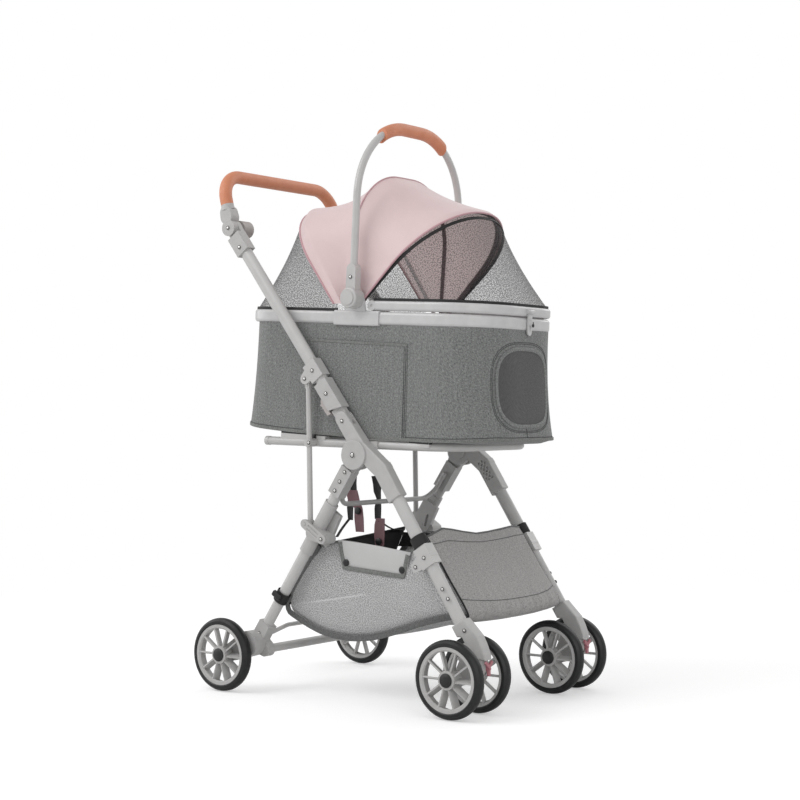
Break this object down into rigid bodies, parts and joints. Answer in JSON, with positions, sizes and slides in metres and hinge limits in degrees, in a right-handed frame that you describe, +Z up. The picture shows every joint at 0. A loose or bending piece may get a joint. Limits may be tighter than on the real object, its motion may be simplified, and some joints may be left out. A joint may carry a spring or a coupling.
{
  "type": "pet stroller",
  "caption": "Folding pet stroller on an A-frame with twin front casters, a lift-off fabric carrier with a hooped canopy, a leather push bar and carry handle, and a fabric basket.",
  "frame": {"origin": "on the floor, under the middle of the length and width", "axes": "+X forward, +Y to the stroller's left, +Z up"},
  "size_m": [0.715, 0.497, 1.1668],
  "materials": {
    "frame_paint": "satin",
    "grey_plastic": "satin",
    "warm_plastic": "matte",
    "pink_plastic": "gloss",
    "black_foam": "matte",
    "grey_fabric": "matte",
    "pink_fabric": "matte",
    "black_mesh": "matte",
    "tan_leather": "satin"
  },
  "bodies": {
    "frame": {"hub_casting_right": "grey_plastic", "hub_casting_left": "grey_plastic", "front_leg_right": "frame_paint", "front_leg_left": "frame_paint", "fork_head_right": "grey_plastic", "fork_head_left": "grey_plastic", "front_cross_tube": "frame_paint", "tray_frame": "frame_paint", "basket": "grey_fabric", "basket_front": "grey_fabric"},
    "handle": {"handle_tube_right": "frame_paint", "handle_tube_left": "frame_paint", "fold_knuckle_right": "grey_plastic", "fold_knuckle_left": "grey_plastic", "tilt_socket_right": "grey_plastic", "tilt_socket_left": "grey_plastic"},
    "grip": {"grip_frame": "grey_plastic", "grip_leather": "tan_leather"},
    "rear_legs": {"rear_leg_right": "frame_paint", "rear_leg_left": "frame_paint", "rear_knuckle_right": "grey_plastic", "rear_knuckle_left": "grey_plastic", "rear_foot_right": "grey_plastic", "rear_foot_left": "grey_plastic", "rear_cross_tube": "frame_paint", "brace_bar": "frame_paint"},
    "brake": {"brake_bar": "frame_paint"},
    "carrier": {"carrier_tub": "grey_fabric", "lower_rail": "grey_plastic", "rear_mesh": "black_mesh", "canopy": "pink_fabric"},
    "lid": {"lid_rail": "grey_plastic", "front_mesh": "black_mesh"},
    "clasp": {"lid_clasp": "grey_plastic"},
    "mid_hoop": {"mid_hoop": "frame_paint"},
    "front_hoop": {"front_hoop": "frame_paint"},
    "bail": {"bail_frame": "frame_paint", "bail_grip": "tan_leather"},
    "latch_right": {"latch_trigger_right": "warm_plastic"},
    "tilt_button_right": {"tilt_button_right": "warm_plastic"},
    "slider_right": {"fold_slider_right": "grey_plastic"},
    "rod_right": {"fold_rod_right": "frame_paint"},
    "rear_wheel_right": {"rear_rim_right": "grey_plastic", "rear_tyre_right": "black_foam"},
    "caster_right": {"caster_yoke_right": "grey_plastic"},
    "lock_right": {"swivel_lock_right": "pink_plastic"},
    "front_wheels_right": {"front_rims_right": "grey_plastic", "front_tyre_outer_right": "black_foam", "front_tyre_inner_right": "black_foam"},
    "latch_left": {"latch_trigger_left": "warm_plastic"},
    "tilt_button_left": {"tilt_button_left": "warm_plastic"},
    "slider_left": {"fold_slider_left": "grey_plastic"},
    "rod_left": {"fold_rod_left": "frame_paint"},
    "rear_wheel_left": {"rear_rim_left": "grey_plastic", "rear_tyre_left": "black_foam"},
    "caster_left": {"caster_yoke_left": "grey_plastic"},
    "lock_left": {"swivel_lock_left": "pink_plastic"},
    "front_wheels_left": {"front_rims_left": "grey_plastic", "front_tyre_outer_left": "black_foam", "front_tyre_inner_left": "black_foam"}
  },
  "joints": [
    {"name": "handle_fold", "type": "hinge", "parent": "frame", "child": "handle", "pos_m": [0.0006, 0, 0.557], "axis": [0, -1, 0], "range_deg": [0, 112]},
    {"name": "rear_legs_fold", "type": "hinge", "parent": "frame", "child": "rear_legs", "pos_m": [0.0301, 0, 0.49], "axis": [0, -1, 0], "range_deg": [-0.5, 41.5], "deforming": ["basket"]},
    {"name": "grip_tilt", "type": "hinge", "parent": "handle", "child": "grip", "pos_m": [-0.30367, 0, 0.96005], "axis": [0, -1, 0], "range_deg": [-40, 45]},
    {"name": "brake_press", "type": "hinge", "parent": "rear_legs", "child": "brake", "pos_m": [-0.2099, 0, 0.119], "axis": [0, 1, 0], "range_deg": [0, 22]},
    {"name": "carrier_lift", "type": "slide", "parent": "frame", "child": "carrier", "axis": [0.0541, 0, 0.9985], "range_m": [0, 0.3]},
    {"name": "lid_open", "type": "hinge", "parent": "carrier", "child": "lid", "pos_m": [0.0508, 0, 0.78628], "axis": [0, -1, 0], "range_deg": [0, 50], "deforming": ["canopy", "front_mesh"]},
    {"name": "clasp_swing", "type": "hinge", "parent": "lid", "child": "clasp", "pos_m": [0.32021, 0, 0.77169], "axis": [0, -1, 0], "range_deg": [0, 100]},
    {"name": "front_hoop_swing", "type": "hinge", "parent": "carrier", "child": "front_hoop", "pos_m": [-0.00747, 0, 0.7644], "axis": [0, -1, 0], "range_deg": [-0.5, 40.5]},
    {"name": "mid_hoop_swing", "type": "hinge", "parent": "carrier", "child": "mid_hoop", "pos_m": [-0.00747, 0, 0.7644], "axis": [0, -1, 0], "range_deg": [-0.5, 20.5]},
    {"name": "bail_swing", "type": "hinge", "parent": "carrier", "child": "bail", "pos_m": [0.01356, 0, 0.80131], "axis": [0, 1, 0], "range_deg": [-50, 80]},
    {"name": "latch_squeeze_right", "type": "hinge", "parent": "handle", "child": "latch_right", "pos_m": [-0.04067, -0.1825, 0.61167], "axis": [0, 1, 0], "range_deg": [0, 6], "stiffness_Nm_per_rad": 0.3, "springref_deg": -11.46},
    {"name": "tilt_button_press_right", "type": "slide", "parent": "handle", "child": "tilt_button_right", "axis": [0, -1, 0], "range_m": [0, 0.006], "stiffness_N_per_m": 400, "springref_m": -0.002},
    {"name": "slider_run_right", "type": "slide", "parent": "rear_legs", "child": "slider_right", "axis": [-0.5548, 0, -0.832], "range_m": [-0.002, 0.1498]},
    {"name": "rod_swing_right", "type": "hinge", "parent": "handle", "child": "rod_right", "pos_m": [-0.09591, -0.1825, 0.64202], "axis": [0, -1, 0], "range_deg": [-95.23, 0.5]},
    {"name": "rear_wheel_roll_right", "type": "hinge", "parent": "rear_legs", "child": "rear_wheel_right", "pos_m": [-0.2825, -0.2345, 0.075], "axis": [0, 1, 0], "continuous": true},
    {"name": "caster_swivel_right", "type": "hinge", "parent": "frame", "child": "caster_right", "pos_m": [0.3251, -0.1825, 0], "axis": [0, 0, 1], "continuous": true},
    {"name": "front_wheels_roll_right", "type": "hinge", "parent": "caster_right", "child": "front_wheels_right", "pos_m": [0.2825, -0.1825, 0.075], "axis": [0, 1, 0], "continuous": true},
    {"name": "swivel_lock_tip_right", "type": "hinge", "parent": "caster_right", "child": "lock_right", "pos_m": [0.3321, -0.1825, 0.095], "axis": [0, 1, 0], "range_deg": [0, 18]},
    {"name": "latch_squeeze_left", "type": "hinge", "parent": "handle", "child": "latch_left", "pos_m": [-0.04067, 0.1825, 0.61167], "axis": [0, 1, 0], "range_deg": [0, 6], "stiffness_Nm_per_rad": 0.3, "springref_deg": -11.46},
    {"name": "tilt_button_press_left", "type": "slide", "parent": "handle", "child": "tilt_button_left", "axis": [0, 1, 0], "range_m": [0, 0.006], "stiffness_N_per_m": 400, "springref_m": -0.002},
    {"name": "slider_run_left", "type": "slide", "parent": "rear_legs", "child": "slider_left", "axis": [-0.5548, 0, -0.832], "range_m": [-0.002, 0.1498]},
    {"name": "rod_swing_left", "type": "hinge", "parent": "handle", "child": "rod_left", "pos_m": [-0.09591, 0.1825, 0.64202], "axis": [0, -1, 0], "range_deg": [-95.23, 0.5]},
    {"name": "rear_wheel_roll_left", "type": "hinge", "parent": "rear_legs", "child": "rear_wheel_left", "pos_m": [-0.2825, 0.2345, 0.075], "axis": [0, 1, 0], "continuous": true},
    {"name": "caster_swivel_left", "type": "hinge", "parent": "frame", "child": "caster_left", "pos_m": [0.3251, 0.1825, 0], "axis": [0, 0, 1], "continuous": true},
    {"name": "front_wheels_roll_left", "type": "hinge", "parent": "caster_left", "child": "front_wheels_left", "pos_m": [0.2825, 0.1825, 0.075], "axis": [0, 1, 0], "continuous": true},
    {"name": "swivel_lock_tip_left", "type": "hinge", "parent": "caster_left", "child": "lock_left", "pos_m": [0.3321, 0.1825, 0.095], "axis": [0, 1, 0], "range_deg": [0, 18]}
  ],
  "couplings": [
    {"joint": "rear_legs_fold", "follows": "handle_fold", "ratio": 0.36607},
    {"joint": "front_hoop_swing", "follows": "lid_open", "ratio": 0.8},
    {"joint": "mid_hoop_swing", "follows": "lid_open", "ratio": 0.4},
    {"joint": "slider_run_right", "follows": "handle_fold", "m_per_rad": 0.075633},
    {"joint": "rod_swing_right", "follows": "handle_fold", "ratio": -0.84578},
    {"joint": "slider_run_left", "follows": "handle_fold", "m_per_rad": 0.075633},
    {"joint": "rod_swing_left", "follows": "handle_fold", "ratio": -0.84578}
  ]
}
